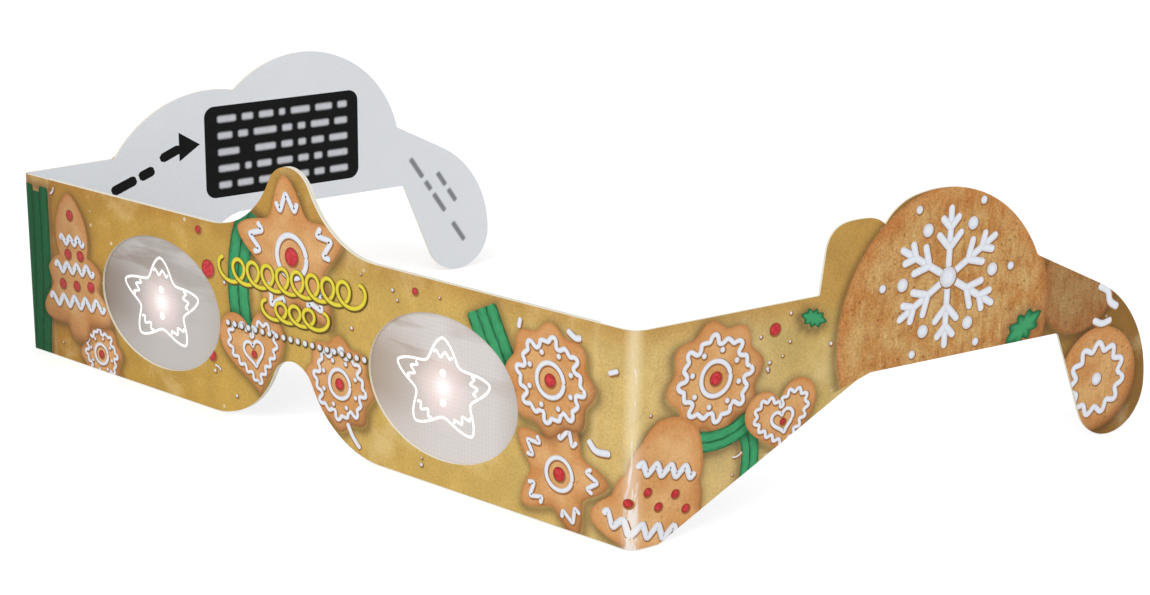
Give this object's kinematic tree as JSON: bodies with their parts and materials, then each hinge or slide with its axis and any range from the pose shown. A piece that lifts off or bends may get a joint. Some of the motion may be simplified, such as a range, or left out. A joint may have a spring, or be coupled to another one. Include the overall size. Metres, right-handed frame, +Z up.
{
  "type": "folding card diffraction glasses",
  "caption": "Folding card glasses with two oval diffraction film windows, a peaked bridge and two fold-back temples with ear hooks.",
  "frame": {"origin": "middle of the nose notch's mouth: level with the front's straight bottom edge, on the printed front face", "axes": "+X to the right as seen from the front, +Y back from the front towards the ear hooks, +Z up"},
  "size_m": [0.1787, 0.1054, 0.0514],
  "materials": {
    "printed_card": "smooth card printed on the outside, bare white inside",
    "backing_card": "smooth uncoated white card",
    "glue": "dried clear paper glue",
    "lens_film": "thin clear film with a fine embossed grating"
  },
  "bodies": {
    "front": {"front_panel": "printed_card", "backing_panel": "backing_card", "glue_layer": "glue", "left_lens_film": "lens_film", "right_lens_film": "lens_film", "left_crease": "printed_card", "right_crease": "printed_card"},
    "left_arm": {"left_temple": "printed_card"},
    "right_arm": {"right_temple": "printed_card"}
  },
  "joints": [
    {"name": "left_fold", "type": "hinge", "parent": "front", "child": "left_arm", "pos_m": [-0.07414, 0.00086, 0], "axis": [0, 0, 1], "range_deg": [-78.9, 101.1], "deforming": ["left_crease"]},
    {"name": "right_fold", "type": "hinge", "parent": "front", "child": "right_arm", "pos_m": [0.07374, 0.00126, 0], "axis": [0, 0, 1], "range_deg": [-74.5, 105.5], "deforming": ["right_crease"]}
  ]
}
